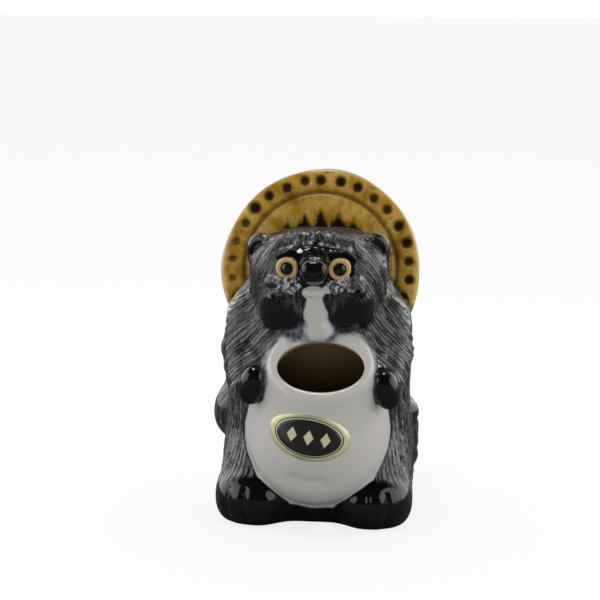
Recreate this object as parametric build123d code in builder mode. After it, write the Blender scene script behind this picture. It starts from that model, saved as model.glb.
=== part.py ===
from build123d import *

import os
from math import cos, radians, sin, sqrt

# Glazed stoneware tanuki: a hollow seated figure whose belly is an open pot.
# Frame: +Z up, the face looks along -Y, the origin is in the middle of the base's underside.
# The animal's own left side is at +X. All sizes are in millimetres and degrees.

# Torso: a stout hollow bell in two cast halves, by its full width and depth at five heights
wall = 5.0
base_thickness = 5.0
base_edge_radius = 1.2
base_width, base_depth = 70.0, 52.0
hip_height, hip_width, hip_depth = 22.0, 73.5, 62.0
chest_height, chest_width, chest_depth = 56.0, 71.2, 60.0
shoulder_height, shoulder_width, shoulder_depth = 78.0, 69.6, 51.0
neck_height, neck_width, neck_depth = 93.0, 50.0, 38.0
seam_y = 2.0
vent_diameter = 10.0

# Belly pot: its full width, depth and centre at four heights above the base slab, then its mouth
pot_wall = 4.5
pot_foot_y, pot_foot_width, pot_foot_depth = -17.0, 24.0, 16.0
pot_low_rise, pot_low_y, pot_low_width, pot_low_depth = 7.5, -17.5, 46.0, 42.0
pot_mid_rise, pot_mid_y, pot_mid_width, pot_mid_depth = 27.0, -16.0, 56.0, 56.0
pot_top_rise, pot_top_y, pot_top_width, pot_top_depth = 44.5, -21.0, 51.0, 51.0
pot_top_tilt = 22.0
mouth_rise, mouth_x, mouth_y = 59.7, 2.5, -35.0
mouth_width, mouth_depth, mouth_tilt = 33.6, 20.8, 50.0
lip_radius = 1.6
mouth_reach = 24.0

# Head: an ellipsoid that sinks into the top of the torso, with a roll of curls round the face
head_width, head_depth, head_height = 53.0, 46.0, 34.0
head_y, head_lift = -6.0, 1.0
roll_diameter = 7.0
roll_half_span, roll_rise, roll_drop = 19.0, 14.0, 1.0
ear_width, ear_depth, ear_height = 12.5, 7.0, 16.0
ear_bowl_width, ear_bowl_depth, ear_bowl_height = 9.0, 4.0, 12.0
ear_inset, ear_forward, ear_rise = 5.5, 4.0, 8.2
ear_lean = 18.0

# Face: pieces pressed on to the front of the head, by their height over or under its centre
eye_diameter, eye_proud, eye_edge_radius = 8.4, 2.2, 1.0
eye_x, eye_rise = 9.2, 5.8
pupil_diameter, pupil_proud, pupil_seat, pupil_edge_radius = 4.7, 0.6, 0.9, 0.4
muzzle_width, muzzle_depth, muzzle_height = 11.6, 18.0, 13.5
muzzle_rise = 5.5
nose_width, nose_depth, nose_height = 9.0, 6.0, 7.5
nose_rise, nose_sink = 1.0, 1.5
chin_width, chin_depth, chin_height = 7.5, 9.0, 5.5
chin_drop = 3.2
cheek_width, cheek_depth, cheek_height = 14.0, 8.0, 7.2
cheek_x, cheek_rise = 11.8, 1.0

# Throat: the white strip down to the belly, with a smooth black jowl on each side of it
throat_width, throat_depth, throat_height = 7.6, 8.0, 22.0
throat_drop, throat_forward = 9.0, 1.0
jowl_width, jowl_depth, jowl_height = 17.5, 8.0, 17.0
jowl_x, jowl_drop = 11.8, 9.5

# Arms: round rolls bent from shoulder to wrist, with a paw on the belly
arm_diameter = 14.4
arm_shoulder_inset, arm_shoulder_y, arm_shoulder_rise = 8.0, -10.5, 1.0
elbow_inset, elbow_y, elbow_rise = 6.5, -15.0, 10.0
wrist_inset, wrist_y, wrist_drop = 9.0, -24.0, 0.5
paw_width, paw_depth, paw_height = 9.5, 11.0, 15.5
left_paw_x, right_paw_x = 27.0, 22.8
paw_y, paw_lean = -31.5, 14.0

# Feet: splayed ellipsoids, cut flat where they stand
foot_width, foot_length, foot_height = 29.0, 30.0, 28.0
foot_x, foot_y, foot_z, foot_splay = 22.5, -17.8, 4.5, 18.0

# Tail: a short fat brush on the lower back
tail_width, tail_depth, tail_height = 19.0, 17.0, 33.0
tail_out, tail_z, tail_lean = 1.0, 19.0, 12.0

# What it carries on its flanks: a flask on its right and an account book on its left
flask_diameter, flask_height, flask_foot_diameter = 17.0, 25.0, 11.0
flask_neck_diameter, flask_neck_height, flask_lip_diameter = 7.0, 5.0, 9.0
flask_proud, flask_y, flask_z = 6.0, 4.0, 24.0
book_thickness, book_depth, book_height, book_edge_radius = 10.0, 17.0, 27.0, 2.2
book_proud, book_y, book_z, book_turn = 0.7, 6.0, 28.5, 12.0

# Hat: a wide disc worn on the back of the head with its inside to the front, and a cone behind
hat_diameter, hat_thickness, hat_dish, hat_edge_radius = 78.0, 5.0, 1.6, 2.0
hat_x, hat_back, hat_drop, hat_tilt = -1.0, 14.0, 1.3, 15.0
groove_diameter, groove_width = 60.0, 2.0
dimple_circle_diameter, dimple_diameter, dimple_depth = 69.4, 4.2, 1.3
dimple_pitch, dimple_count = 12.0, 19
crown_diameter, crown_tip_diameter, crown_height, crown_edge_radius = 58.0, 20.0, 14.0, 4.0

# Label: an oval foil sticker that follows the belly
label_width, label_height, label_thickness = 31.0, 17.6, 0.25
label_rise, label_turn = 35.3, 9.0

# Heights that several pieces share
pot_floor_z = base_thickness
head_z = neck_height + head_lift
elbow_z = chest_height + elbow_rise
wrist_z = chest_height - wrist_drop
sides = (("left", 1), ("right", -1))

os.makedirs("parts", exist_ok=True)


def ellipsoid(width, depth, height, poles=(90, 0, 0)):
    """An ellipsoid of these full sizes, on the origin, with its poles front and back or turned."""
    with BuildPart() as form:
        Sphere(height / 2, rotation=poles)
        scale(by=(width / height, depth / height, 1))
    return form.part


def torso_form(inset, roof_inset):
    """The torso's bell from the base slab to its neck, drawn in by inset."""
    sections = (
        (base_thickness, base_width, base_depth),
        (hip_height, hip_width, hip_depth),
        (chest_height, chest_width, chest_depth),
        (shoulder_height, shoulder_width, shoulder_depth),
        (neck_height - roof_inset, neck_width, neck_depth),
    )
    with BuildPart() as form:
        for height, width, depth in sections:
            with BuildSketch(Plane.XY.offset(height)):
                Ellipse(depth / 2 - inset, width / 2 - inset, rotation=90)
        loft()
    return form.part


def pot_plane(x, y, rise, tilt):
    """A plane across the belly pot at that rise over its floor, leaning forwards by tilt."""
    lean = radians(tilt)
    return Plane(origin=(x, y, pot_floor_z + rise), x_dir=(1, 0, 0), z_dir=(0, -sin(lean), cos(lean)))


def pot_form(inset, floor_inset):
    """The belly pot from its floor to its mouth, drawn in by inset."""
    sections = (
        (pot_plane(0, pot_foot_y, floor_inset, 0), pot_foot_width, pot_foot_depth),
        (pot_plane(0, pot_low_y, pot_low_rise + floor_inset, 0), pot_low_width, pot_low_depth),
        (pot_plane(0, pot_mid_y, pot_mid_rise, 0), pot_mid_width, pot_mid_depth),
        (pot_plane(0, pot_top_y, pot_top_rise, pot_top_tilt), pot_top_width, pot_top_depth),
        (mouth_plane, mouth_width + 2 * pot_wall, mouth_depth + 2 * pot_wall),
    )
    with BuildPart() as form:
        for plane, width, depth in sections:
            with BuildSketch(plane):
                Ellipse(depth / 2 - inset, width / 2 - inset, rotation=-90)
        loft()
    return form.part


def torso_front(z):
    """The y of the torso's front at a height from shoulder to neck."""
    share = (z - shoulder_height) / (neck_height - shoulder_height)
    return -(shoulder_depth + (neck_depth - shoulder_depth) * share) / 2


def head_front(x, rise):
    """The point of the head's front face at that x and height over its centre."""
    share = (2 * x / head_width) ** 2 + (2 * rise / head_height) ** 2
    return Vector(x, head_y - head_depth / 2 * sqrt(1 - share), head_z + rise)


def head_normal(point):
    """The direction that points straight out of the head at a point of its face."""
    return Vector(
        point.X / head_width**2,
        (point.Y - head_y) / head_depth**2,
        (point.Z - head_z) / head_height**2,
    )


# Shapes that the pieces are cut from and seated against
mouth_plane = pot_plane(mouth_x, mouth_y, mouth_rise, mouth_tilt)
torso_outer = torso_form(0, 0)
torso_inner = torso_form(wall, wall)
pot_outer = pot_form(0, 0)
pot_inner = pot_form(pot_wall, pot_wall)
head_centre = Pos(0, head_y, head_z)
upright = (0, 0, 0)
head_outer = head_centre * ellipsoid(head_width, head_depth, head_height, upright)
head_inner = head_centre * ellipsoid(
    head_width - 2 * wall, head_depth - 2 * wall, head_height - 2 * wall, upright
)

with BuildPart() as mouth_space:
    with BuildSketch(mouth_plane):
        Ellipse(mouth_width / 2, mouth_depth / 2)
    extrude(amount=mouth_reach)

# Base slab
with BuildPart() as base_plate:
    with BuildSketch():
        Ellipse(base_width / 2, base_depth / 2)
    extrude(amount=base_thickness)
    fillet(base_plate.edges().group_by(Axis.Z)[0], base_edge_radius)
base_plate.part.label = "base_plate"
export_step(base_plate.part, "parts/base_plate.step")

# Torso halves, with a vent from the body's hollow into the head's
with BuildPart() as torso_shell:
    add(torso_outer)
    add(torso_inner, mode=Mode.SUBTRACT)
    with Locations((0, 0, neck_height - wall / 2)):
        Cylinder(vent_diameter / 2, 2 * wall, mode=Mode.SUBTRACT)
    add(pot_outer, mode=Mode.SUBTRACT)
    add(mouth_space.part, mode=Mode.SUBTRACT)

with BuildPart() as front_shell:
    add(torso_shell.part)
    split(bisect_by=Plane.XZ.offset(-seam_y), keep=Keep.TOP)
front_shell.part.label = "front_shell"
export_step(front_shell.part, "parts/front_shell.step")

with BuildPart() as rear_shell:
    add(torso_shell.part)
    split(bisect_by=Plane.XZ.offset(-seam_y), keep=Keep.BOTTOM)
rear_shell.part.label = "rear_shell"
export_step(rear_shell.part, "parts/rear_shell.step")

# Belly pot, open to the torso's hollow behind it
with BuildPart() as belly_pot:
    add(pot_outer)
    mouth_face = belly_pot.faces().sort_by(Axis(mouth_plane.origin, mouth_plane.z_dir))[-1]
    fillet(mouth_face.edges(), lip_radius)
    for form in (pot_inner, torso_inner, base_plate.part):
        add(form, mode=Mode.SUBTRACT)
belly_pot.part.label = "belly_pot"
export_step(belly_pot.part, "parts/belly_pot.step")

# Hollow head, open below on to the torso's roof
with BuildPart() as head_shell:
    add(head_outer)
    add(head_inner, mode=Mode.SUBTRACT)
    add(torso_outer, mode=Mode.SUBTRACT)
head_shell.part.label = "head_shell"
export_step(head_shell.part, "parts/head_shell.step")

# Roll of curls that frames the face
roll_end = head_front(roll_half_span, -roll_drop)
roll_top = head_front(0, roll_rise)
with BuildPart() as face_roll:
    with BuildLine() as roll_path:
        ThreePointArc((-roll_end.X, roll_end.Y, roll_end.Z), roll_top, roll_end)
    with BuildSketch(Plane(origin=roll_path.line @ 0, z_dir=roll_path.line % 0)):
        Circle(roll_diameter / 2)
    sweep(path=roll_path.line)
    add(head_outer, mode=Mode.SUBTRACT)
face_roll.part.label = "face_roll"
export_step(face_roll.part, "parts/face_roll.step")

# Muzzle with the nose on its tip
muzzle_seat = head_front(0, muzzle_rise)
muzzle_form = Pos(muzzle_seat) * ellipsoid(muzzle_width, muzzle_depth, muzzle_height)
with BuildPart() as muzzle:
    add(muzzle_form)
    add(head_outer, mode=Mode.SUBTRACT)
muzzle.part.label = "muzzle"
export_step(muzzle.part, "parts/muzzle.step")

nose_place = muzzle_seat + Vector(0, nose_sink - muzzle_depth / 2, nose_rise)
nose_form = Pos(nose_place) * ellipsoid(nose_width, nose_depth, nose_height)
with BuildPart() as nose:
    add(nose_form)
    add(muzzle_form, mode=Mode.SUBTRACT)
nose.part.label = "nose"
export_step(nose.part, "parts/nose.step")

# Chin, between the muzzle and the throat
chin_form = Pos(head_front(0, -chin_drop)) * ellipsoid(chin_width, chin_depth, chin_height)
with BuildPart() as chin:
    add(chin_form)
    add(head_outer, mode=Mode.SUBTRACT)
    add(muzzle_form, mode=Mode.SUBTRACT)
chin.part.label = "chin"
export_step(chin.part, "parts/chin.step")

# White strip down the throat
throat_z = head_z - throat_drop
throat_form = Pos(0, torso_front(throat_z) - throat_forward, throat_z) * ellipsoid(
    throat_width, throat_depth, throat_height
)
with BuildPart() as throat:
    add(throat_form)
    for form in (torso_outer, pot_outer, mouth_space.part, head_outer, muzzle_form, chin_form):
        add(form, mode=Mode.SUBTRACT)
throat.part.label = "throat"
export_step(throat.part, "parts/throat.step")

# Eyes: a domed button on each side of the muzzle, with a pupil set in it
for side, sign in sides:
    eye_seat = head_front(sign * eye_x, eye_rise)
    eye_plane = Plane(origin=eye_seat, z_dir=head_normal(eye_seat))
    with BuildPart() as eye:
        with BuildSketch(eye_plane):
            Circle(eye_diameter / 2)
        extrude(amount=eye_proud, both=True)
        fillet(eye.faces().sort_by(Axis(eye_seat, eye_plane.z_dir))[-1].edges(), eye_edge_radius)
        with BuildSketch(eye_plane.offset(eye_proud)):
            Circle(pupil_diameter / 2)
        extrude(amount=-pupil_seat, mode=Mode.SUBTRACT)
        add(head_outer, mode=Mode.SUBTRACT)
        add(muzzle_form, mode=Mode.SUBTRACT)
    eye.part.label = f"{side}_eye"
    export_step(eye.part, f"parts/{side}_eye.step")

    with BuildPart() as pupil:
        with BuildSketch(eye_plane.offset(eye_proud - pupil_seat)):
            Circle(pupil_diameter / 2)
        extrude(amount=pupil_seat + pupil_proud)
        fillet(pupil.faces().sort_by(Axis(eye_seat, eye_plane.z_dir))[-1].edges(), pupil_edge_radius)
    pupil.part.label = f"{side}_pupil"
    export_step(pupil.part, f"parts/{side}_pupil.step")

    cheek_form = Pos(head_front(sign * cheek_x, cheek_rise)) * ellipsoid(
        cheek_width, cheek_depth, cheek_height
    )
    with BuildPart() as cheek:
        add(cheek_form)
        for form in (head_outer, muzzle_form, eye.part, pupil.part, face_roll.part):
            add(form, mode=Mode.SUBTRACT)
    cheek.part.label = f"{side}_cheek"
    export_step(cheek.part, f"parts/{side}_cheek.step")

    jowl_z = head_z - jowl_drop
    jowl_form = Pos(sign * jowl_x, torso_front(jowl_z), jowl_z) * ellipsoid(
        jowl_width, jowl_depth, jowl_height
    )
    with BuildPart() as jowl:
        add(jowl_form)
        for form in (torso_outer, pot_outer, mouth_space.part, head_outer, muzzle_form, chin_form):
            add(form, mode=Mode.SUBTRACT)
        for form in (throat_form, cheek_form, face_roll.part):
            add(form, mode=Mode.SUBTRACT)
    jowl.part.label = f"{side}_jowl"
    export_step(jowl.part, f"parts/{side}_jowl.step")

# Ears, each with a shallow bowl in front
ear_blank = ellipsoid(ear_width, ear_depth, ear_height, upright)
ear_bowl = ellipsoid(ear_bowl_width, ear_bowl_depth, ear_bowl_height)
for side, sign in sides:
    ear_place = Pos(sign * (head_width / 2 - ear_inset), head_y - ear_forward, head_z + ear_rise)
    ear_turn = Rot(0, sign * ear_lean, 0)
    with BuildPart() as ear:
        add(ear_place * ear_turn * ear_blank)
        add(ear_place * ear_turn * Pos(0, -ear_depth / 2, 0) * ear_bowl, mode=Mode.SUBTRACT)
        add(head_outer, mode=Mode.SUBTRACT)
    ear.part.label = f"{side}_ear"
    export_step(ear.part, f"parts/{side}_ear.step")

# Arms and paws
arm_forms = {}
paw_blank = ellipsoid(paw_width, paw_depth, paw_height)
for side, sign in sides:
    shoulder_point = (
        sign * (shoulder_width / 2 - arm_shoulder_inset),
        arm_shoulder_y,
        shoulder_height + arm_shoulder_rise,
    )
    elbow_point = (sign * (chest_width / 2 - elbow_inset), elbow_y, elbow_z)
    wrist_point = (sign * (chest_width / 2 - wrist_inset), wrist_y, wrist_z)
    with BuildPart() as arm_form:
        with BuildLine() as arm_path:
            ThreePointArc(shoulder_point, elbow_point, wrist_point)
        with BuildSketch(Plane(origin=arm_path.line @ 0, z_dir=arm_path.line % 0)):
            Circle(arm_diameter / 2)
        sweep(path=arm_path.line)
        with Locations(shoulder_point, wrist_point):
            Sphere(arm_diameter / 2)
    arm_forms[side] = arm_form.part

    with BuildPart() as arm:
        add(arm_forms[side])
        for form in (torso_outer, pot_outer, mouth_space.part, head_outer):
            add(form, mode=Mode.SUBTRACT)
    arm.part.label = f"{side}_arm"
    export_step(arm.part, f"parts/{side}_arm.step")

    paw_x = left_paw_x if sign > 0 else right_paw_x
    paw_place = Pos(sign * paw_x, paw_y, wrist_z) * Rot(0, sign * paw_lean, 0)
    with BuildPart() as paw:
        add(paw_place * paw_blank)
        for form in (torso_outer, pot_outer, mouth_space.part, arm_forms[side]):
            add(form, mode=Mode.SUBTRACT)
    paw.part.label = f"{side}_paw"
    export_step(paw.part, f"parts/{side}_paw.step")

# Feet
foot_blank = ellipsoid(foot_width, foot_length, foot_height, upright)
for side, sign in sides:
    with BuildPart() as foot:
        add(Pos(sign * foot_x, foot_y, foot_z) * Rot(0, 0, sign * foot_splay) * foot_blank)
        split(bisect_by=Plane.XY, keep=Keep.TOP)
        for form in (base_plate.part, torso_outer, pot_outer):
            add(form, mode=Mode.SUBTRACT)
    foot.part.label = f"{side}_foot"
    export_step(foot.part, f"parts/{side}_foot.step")

# Tail
with BuildPart() as tail:
    add(Pos(0, hip_depth / 2 + tail_out, tail_z) * Rot(-tail_lean, 0, 0) * ellipsoid(
        tail_width, tail_depth, tail_height
    ))
    add(torso_outer, mode=Mode.SUBTRACT)
    add(base_plate.part, mode=Mode.SUBTRACT)
tail.part.label = "tail"
export_step(tail.part, "parts/tail.step")

# Flask on its right flank
flask_x = -(hip_width / 2 + flask_proud - flask_diameter / 2)
with BuildPart() as sake_flask:
    with BuildSketch(Plane(origin=(flask_x, flask_y, flask_z), x_dir=(1, 0, 0), z_dir=(0, -1, 0))):
        with BuildLine():
            foot_corner = (flask_foot_diameter / 2, 0)
            neck_corner = (flask_neck_diameter / 2, flask_height - flask_neck_height)
            lip_corner = (flask_lip_diameter / 2, flask_height)
            Line((0, 0), foot_corner)
            Spline(foot_corner, (flask_diameter / 2, neck_corner[1] / 2), neck_corner)
            Line(neck_corner, lip_corner)
            Polyline(lip_corner, (0, flask_height), (0, 0))
        make_face()
    revolve(axis=Axis((flask_x, flask_y, flask_z), (0, 0, 1)))
    add(torso_outer, mode=Mode.SUBTRACT)
    add(arm_forms["right"], mode=Mode.SUBTRACT)
sake_flask.part.label = "sake_flask"
export_step(sake_flask.part, "parts/sake_flask.step")

# Account book on its left flank
book_x = hip_width / 2 + book_proud - book_thickness / 2
with BuildPart() as account_book:
    with Locations(Location((book_x, book_y, book_z), (0, 0, book_turn))):
        Box(book_thickness, book_depth, book_height)
    fillet(account_book.edges(), book_edge_radius)
    add(torso_outer, mode=Mode.SUBTRACT)
    add(arm_forms["left"], mode=Mode.SUBTRACT)
account_book.part.label = "account_book"
export_step(account_book.part, "parts/account_book.step")

# Hat: the disc with its groove and dimples, then the cone behind it
hat_lean = radians(hat_tilt)
hat_plane = Plane(
    origin=(hat_x, head_y + hat_back, head_z - hat_drop),
    x_dir=(1, 0, 0),
    z_dir=(0, -cos(hat_lean), sin(hat_lean)),
)
hat_section = Plane(origin=hat_plane.origin, x_dir=hat_plane.x_dir, z_dir=-hat_plane.y_dir)
dimple_radius = (dimple_diameter**2 / 4 + dimple_depth**2) / (2 * dimple_depth)
first_dimple_angle = 90 - dimple_pitch * (dimple_count - 1) / 2
with BuildPart() as hat_brim:
    with BuildSketch(hat_section):
        with BuildLine():
            Polyline(
                (0, -hat_dish),
                (groove_diameter / 2, 0),
                (hat_diameter / 2, 0),
                (hat_diameter / 2, -hat_thickness),
                (0, -hat_thickness),
                close=True,
            )
        make_face()
    revolve(axis=Axis(hat_plane.origin, hat_plane.z_dir))
    rim_edges = hat_brim.edges().filter_by(GeomType.CIRCLE).group_by(SortBy.RADIUS)[-1]
    fillet(rim_edges, hat_edge_radius)
    with Locations(hat_plane):
        Torus(groove_diameter / 2, groove_width / 2, mode=Mode.SUBTRACT)
    with Locations(hat_plane.offset(dimple_radius - dimple_depth)):
        with PolarLocations(
            dimple_circle_diameter / 2,
            dimple_count,
            first_dimple_angle,
            dimple_pitch * (dimple_count - 1),
            endpoint=True,
        ):
            Sphere(dimple_radius, mode=Mode.SUBTRACT)
    for form in (torso_outer, head_outer, arm_forms["left"], arm_forms["right"]):
        add(form, mode=Mode.SUBTRACT)
hat_brim.part.label = "hat_brim"
export_step(hat_brim.part, "parts/hat_brim.step")

hat_rear = hat_plane.offset(-hat_thickness)
with BuildPart() as hat_crown:
    with Locations(Plane(origin=hat_rear.origin, x_dir=hat_rear.x_dir, z_dir=-hat_rear.z_dir)):
        Cone(
            crown_diameter / 2,
            crown_tip_diameter / 2,
            crown_height,
            align=(Align.CENTER, Align.CENTER, Align.MIN),
        )
    fillet(hat_crown.edges().filter_by(GeomType.CIRCLE).group_by(SortBy.RADIUS)[0], crown_edge_radius)
    add(torso_outer, mode=Mode.SUBTRACT)
    add(head_outer, mode=Mode.SUBTRACT)
hat_crown.part.label = "hat_crown"
export_step(hat_crown.part, "parts/hat_crown.step")

# Foil label on the front of the belly
label_skin = pot_form(-label_thickness, 0)
with BuildPart() as label:
    with BuildSketch(pot_plane(0, pot_mid_y, label_rise, 90)):
        Ellipse(label_width / 2, label_height / 2, rotation=-label_turn)
    extrude(amount=pot_mid_depth)
    add(label_skin, mode=Mode.INTERSECT)
    add(pot_outer, mode=Mode.SUBTRACT)
label.part.label = "label"
export_step(label.part, "parts/label.step")
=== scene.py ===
from math import cos, pi, radians, sin

import bpy
import numpy as np
import openvdb
from mathutils import Matrix, Vector

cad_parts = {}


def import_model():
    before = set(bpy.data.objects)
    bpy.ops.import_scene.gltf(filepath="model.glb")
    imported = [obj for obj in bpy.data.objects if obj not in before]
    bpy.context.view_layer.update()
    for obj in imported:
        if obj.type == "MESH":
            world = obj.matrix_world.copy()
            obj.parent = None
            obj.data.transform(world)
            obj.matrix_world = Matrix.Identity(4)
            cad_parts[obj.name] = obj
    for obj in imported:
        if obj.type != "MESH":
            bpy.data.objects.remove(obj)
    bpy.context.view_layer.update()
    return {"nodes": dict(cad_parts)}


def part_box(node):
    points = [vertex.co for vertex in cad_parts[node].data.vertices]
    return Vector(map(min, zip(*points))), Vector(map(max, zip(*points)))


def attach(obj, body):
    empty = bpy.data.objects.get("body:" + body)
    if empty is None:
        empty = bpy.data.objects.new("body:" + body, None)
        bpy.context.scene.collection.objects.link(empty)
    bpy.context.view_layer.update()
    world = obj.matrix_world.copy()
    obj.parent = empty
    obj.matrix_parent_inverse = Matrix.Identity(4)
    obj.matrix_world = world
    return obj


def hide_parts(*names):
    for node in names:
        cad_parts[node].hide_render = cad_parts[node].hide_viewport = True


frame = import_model()

# A glazed stoneware tanuki. Its forms are sculpted as fields of signed distance in millimetres, in the
# frame of the CAD model: +Z up, the face towards -Y, the animal's own left at +X. Each field is meshed
# into the piece that stands for one CAD node, and neighbours share one skin, as pieces luted with slip
# and flooded with glaze do.

MM = 0.001
COARSE = 1.0
STEP = 0.45 * COARSE
BRIM_STEP = 0.36 * COARSE
FINE_STEP = 0.32 * COARSE

# Camera: the photo looks a little down on the figure, which faces a little to the viewer's left
CAMERA_AZIMUTH, CAMERA_ELEVATION = 5.0, 15.0
CAMERA_DISTANCE = 0.600
IMAGE_PIXELS = 600
MM_PER_PIXEL = 0.39
TARGET = Vector((0, 0, 0.0617))
TARGET_PIXEL = (321, 350)

# How softly the trunk's forms and the pressed-on forms run into their neighbours
TRUNK_BLEND = 1.8
BLEND = 0.6

# Past its border a piece shares its neighbour's skin for LAP, then dives under it, and ends at OVERLAP
LAP = 0.35
DIVE = 0.8
OVERLAP = 0.9


# Fields


def local(p, centre, turn=None):
    """Points measured from a centre, along axes turned by a 3 x 3 matrix."""
    q = [a - c for a, c in zip(p, centre)]
    if turn is None:
        return q
    return [sum(float(turn[j][i]) * q[j] for j in range(3)) for i in range(3)]


def ellipsoid(p, centre, radii, turn=None, power=2.0):
    """Signed distance to an ellipsoid, or to a squarer one where power is over 2."""
    q = [np.abs(a) / r + 1e-4 for a, r in zip(local(p, centre, turn), radii)]
    f = (q[0] ** power + q[1] ** power + q[2] ** power) ** (1 / power)
    slope = sum((a ** (power - 1) / r) ** 2 for a, r in zip(q, radii)) ** 0.5 * f ** (1 - power)
    return (f - 1) / slope


def oval(a, b, half_a, half_b):
    """Signed distance to an oval of these half sizes, in its plane."""
    f = np.sqrt((a / half_a) ** 2 + (b / half_b) ** 2) + 1e-4
    return f * (f - 1) / (np.sqrt((a / half_a**2) ** 2 + (b / half_b**2) ** 2) + 1e-5)


def limb(p, points, radii):
    """Signed distance to a chain of round cones."""
    nearest = None
    for start, end, first, last in zip(points, points[1:], radii, radii[1:]):
        along = [e - s for s, e in zip(start, end)]
        length = sum(a * a for a in along)
        q = local(p, start)
        share = np.clip(sum(a * b for a, b in zip(q, along)) / length, 0, 1)
        away = np.sqrt(sum((a - b * share) ** 2 for a, b in zip(q, along)))
        d = away - first - (last - first) * share
        nearest = d if nearest is None else np.minimum(nearest, d)
    return nearest


def slab(p, centre, half, rounding, turn=None):
    """Signed distance to a box with rounded edges."""
    q = [np.abs(a) - h + rounding for a, h in zip(local(p, centre, turn), half)]
    outside = np.sqrt(sum(np.maximum(a, 0) ** 2 for a in q))
    return outside + np.minimum(np.maximum(np.maximum(q[0], q[1]), q[2]), 0) - rounding


def ring(p, centre, axis, radius, thickness):
    """Signed distance to a torus round an axis."""
    q = local(p, centre)
    along = sum(a * float(b) for a, b in zip(q, axis))
    away = np.sqrt(np.maximum(sum(a * a for a in q) - along**2, 0))
    return np.sqrt((away - radius) ** 2 + along**2) - thickness


def join(a, b, radius):
    """Two fields melted together."""
    return -radius * np.logaddexp(-a / radius, -b / radius)


def cut(a, b, radius):
    """The first field with the second taken away, over a rounded edge."""
    return radius * np.logaddexp(a / radius, -b / radius)


def smooth(value, low, high):
    """An eased step from 0 at low to 1 at high."""
    t = np.clip((value - low) / (high - low), 0, 1)
    return t * t * (3 - 2 * t)


def profile(z, heights, values, ease):
    """A smooth curve of values over heights."""
    grains = 14
    fine = np.arange(heights[0] - 3 * ease, heights[-1] + 3 * ease, ease / grains)
    curve = np.interp(fine, heights, values)
    kernel = np.ones(grains) / grains
    for _ in range(2):
        curve = np.convolve(np.pad(curve, grains, mode="edge"), kernel, mode="same")[grains:-grains]
    return np.interp(z, fine, curve).astype(np.float32)


def turned(x=0.0, y=0.0, z=0.0):
    """A turn about X, then Y, then Z, in degrees."""
    about_x = Matrix.Rotation(radians(x), 3, "X")
    about_y = Matrix.Rotation(radians(y), 3, "Y")
    return Matrix.Rotation(radians(z), 3, "Z") @ about_y @ about_x


def hashed(ix, iy, iz, seed):
    """A steady value from 0 to 1 for each cell of a lattice."""
    h = ix * np.uint32(374761393) + iy * np.uint32(668265263) + iz * np.uint32(2246822519)
    h = h + np.uint32(seed * 3266489917 % 2**32)
    h = (h ^ (h >> np.uint32(13))) * np.uint32(1274126177)
    h = (h ^ (h >> np.uint32(16))) * np.uint32(2654435761)
    return ((h ^ (h >> np.uint32(15))) >> np.uint32(8)).astype(np.float32) / 2**24


def noise(u, v, w, seed):
    """Smooth noise from 0 to 1, one cell to a unit."""
    cells, eased = [], []
    for a in (u, v, w):
        base = np.floor(a)
        t = (a - base).astype(np.float32)
        cells.append(base.astype(np.int64).astype(np.uint32))
        eased.append(t * t * t * (t * (t * 6 - 15) + 10))
    total = 0
    for corner in range(8):
        shift = [corner >> i & 1 for i in range(3)]
        weight = 1
        for t, s in zip(eased, shift):
            weight = weight * (t if s else 1 - t)
        total = total + weight * hashed(*[c + np.uint32(s) for c, s in zip(cells, shift)], seed)
    return total


# Forms of the body


# Torso: half its width and depth at these heights, and a haunch on each side
TORSO_HEIGHTS = (0, 6, 13, 22, 36, 47, 58, 66, 76, 80, 84, 88, 93, 98)
TORSO_HALF_WIDTHS = (32.5, 35.5, 37.3, 37, 36, 35.3, 35.6, 36, 35.6, 34.3, 31.5, 28, 24, 18)
TORSO_HALF_DEPTHS = (25, 26, 28.5, 31, 31.5, 31, 29.5, 28.2, 26, 25, 23.5, 21.5, 18.5, 14)
TORSO_X, TORSO_BOTTOM, TORSO_TOP = -0.7, 3, 97
TORSO_EASE, TORSO_EDGE = 6.0, 2.5
HAUNCH_X, HAUNCH_Y, HAUNCH_Z = 22.5, -12.0, 12.0
HAUNCH_RADII, HAUNCH_JOIN = (14.0, 17.0, 26.0), 1.5
SEAM_Y = 2.0
WALL = 5.0

# Base slab: it rises inside the torso's skin, and the hollow begins at its true thickness
BASE_THICKNESS, BASE_RISE, BASE_EDGE = 5.0, 10, 1.0
BASE_HALF_WIDTH, BASE_HALF_DEPTH = 33.5, 25.3

# Belly pot: a ball, and a collar that spreads from the mouth's rim down into it
POT_CENTRE, POT_RADII, POT_WALL = (0.5, -16, 31.2), (26.3, 27.7, 25.2), 4.5
MOUTH_CENTRE, MOUTH_TILT = (2.9, -34.5, 64.8), 50.0
MOUTH_HALF_WIDTH, MOUTH_HALF_DEPTH, MOUTH_EDGE = 16.0, 10.2, 0.8
MOUTH_FLARE, MOUTH_FLARE_START, MOUTH_FLARE_REACH = 0.25, 1.0, 12
MOUTH_ABOVE, MOUTH_BELOW = 25, 16
COLLAR_HALF_WIDTH, COLLAR_HALF_DEPTH, COLLAR_LIFT = 19.5, 15.0, 1.5
COLLAR_SPREAD_WIDTH, COLLAR_SPREAD_DEPTH, COLLAR_DRIFT = 0.20, 0.75, 0.10
COLLAR_REACH, COLLAR_EDGE, COLLAR_JOIN = 26, 1.0, 4.5
CREASE_PATH = ((-7, -42.3, 23.5), (-1, -43.2, 21.6), (4, -42.8, 22.8))
CREASE_RADII, CREASE_LIFT, CREASE_EDGE = (1.2, 1.6, 1.0), 0.4, 1.4


def base_plate(p):
    x, y, z = p
    outline = oval(x - TORSO_X, y, BASE_HALF_WIDTH, BASE_HALF_DEPTH) + 0 * z
    return cut(outline, -np.maximum(z - BASE_RISE, -z), BASE_EDGE)


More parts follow.
